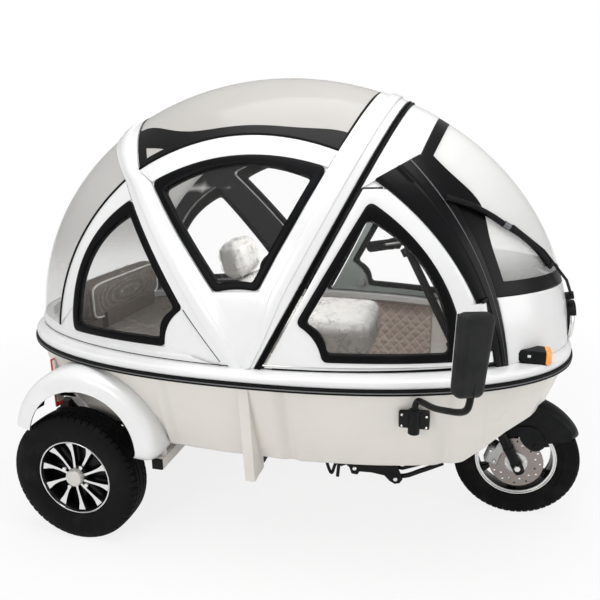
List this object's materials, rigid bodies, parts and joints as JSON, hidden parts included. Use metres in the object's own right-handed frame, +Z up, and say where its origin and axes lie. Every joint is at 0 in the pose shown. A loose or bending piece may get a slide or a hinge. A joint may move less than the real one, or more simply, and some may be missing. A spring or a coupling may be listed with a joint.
{
  "type": "enclosed electric tricycle",
  "caption": "Egg-shaped enclosed cabin on a moulded tub, with one steered front wheel, a driven rear axle, side doors, wrap-round glazing and two seat rows.",
  "frame": {"origin": "on the ground, under the middle of the bounding box", "axes": "+X forward, towards the front wheel; +Y to the vehicle's left; +Z up"},
  "size_m": [2.224, 1.6496, 1.669],
  "materials": {
    "shell_gelcoat": "glossy white moulded shell",
    "tub_gelcoat": "glossy cream-grey moulded tub",
    "black_rubber": "satin black rubber",
    "window_glass": "clear pane in a black rubber rim",
    "clear_glass": "clear formed pane",
    "black_paint": "satin black paint",
    "black_plastic": "grained black plastic",
    "tyre_rubber": "matt black rubber",
    "cast_alloy": "machined and painted cast alloy",
    "brake_steel": "ground steel",
    "seat_vinyl": "cream vinyl",
    "bench_cloth": "brown woven cloth",
    "lining_cloth": "quilted pinkish brown lining",
    "grey_plastic": "matt grey plastic",
    "clear_lens": "clear moulded lens in a black housing",
    "amber_lens": "amber moulded lens in a black housing",
    "red_lens": "red moulded lens"
  },
  "bodies": {
    "body": {"rear_shell": "shell_gelcoat", "roof_header": "shell_gelcoat", "nose_cowl": "shell_gelcoat", "waist_flange": "shell_gelcoat", "rear_fender_left": "shell_gelcoat", "rear_fender_right": "shell_gelcoat", "side_post_left": "shell_gelcoat", "side_post_right": "shell_gelcoat", "tub": "tub_gelcoat", "bench_base": "tub_gelcoat", "hoop_seal": "black_rubber", "waist_strip": "black_rubber", "centre_window_left": "window_glass", "centre_window_right": "window_glass", "quarter_window_left": "window_glass", "quarter_window_right": "window_glass", "windscreen": "clear_glass", "skylight": "clear_glass", "rear_window": "clear_glass", "chassis_frame": "black_paint", "rear_axle": "black_paint", "steering_head": "black_paint", "leaf_spring_left": "black_paint", "leaf_spring_right": "black_paint", "pillar_left": "black_paint", "pillar_right": "black_paint", "dashboard": "black_plastic", "wiper": "black_plastic", "mirror_left": "black_plastic", "mirror_right": "black_plastic", "driver_seat_cushion": "seat_vinyl", "driver_seat_back": "seat_vinyl", "bench_cushion": "bench_cloth", "bench_back": "bench_cloth", "side_lining_left": "lining_cloth", "side_lining_right": "lining_cloth", "driver_seat_base": "grey_plastic", "battery_block": "grey_plastic", "headlight": "clear_lens", "turn_signal_left": "amber_lens", "turn_signal_right": "amber_lens", "tail_lamp_left": "red_lens", "tail_lamp_right": "red_lens"},
    "steering": {"steering_fork": "black_paint", "handlebar": "black_plastic", "front_mudguard": "black_plastic", "brake_caliper": "brake_steel"},
    "front_wheel": {"front_tyre": "tyre_rubber", "front_rim": "cast_alloy", "brake_disc": "brake_steel"},
    "rear_wheel_right": {"rear_tyre_right": "tyre_rubber", "rear_rim_right": "cast_alloy"},
    "door_right": {"door_right": "shell_gelcoat", "door_window_right": "window_glass"},
    "rear_wheel_left": {"rear_tyre_left": "tyre_rubber", "rear_rim_left": "cast_alloy"},
    "door_left": {"door_left": "shell_gelcoat", "door_window_left": "window_glass"}
  },
  "joints": [
    {"name": "steering", "type": "hinge", "parent": "body", "child": "steering", "pos_m": [0.8513, 0, 0.2204], "axis": [-0.454, 0, 0.891], "range_deg": [-35, 35]},
    {"name": "front_wheel_spin", "type": "hinge", "parent": "steering", "child": "front_wheel", "pos_m": [0.878, 0, 0.234], "axis": [0, 1, 0], "continuous": true},
    {"name": "rear_wheel_right_spin", "type": "hinge", "parent": "body", "child": "rear_wheel_right", "pos_m": [-0.705, -0.536, 0.25], "axis": [0, 1, 0], "continuous": true},
    {"name": "rear_wheel_left_spin", "type": "hinge", "parent": "body", "child": "rear_wheel_left", "pos_m": [-0.705, 0.536, 0.25], "axis": [0, 1, 0], "continuous": true},
    {"name": "door_right_hinge", "type": "hinge", "parent": "body", "child": "door_right", "pos_m": [0.728, -0.408, 0.775], "axis": [-0.1778, 0, 0.9841], "range_deg": [0, 50]},
    {"name": "door_left_hinge", "type": "hinge", "parent": "body", "child": "door_left", "pos_m": [0.728, 0.408, 0.775], "axis": [0.1778, 0, -0.9841], "range_deg": [0, 50]}
  ]
}
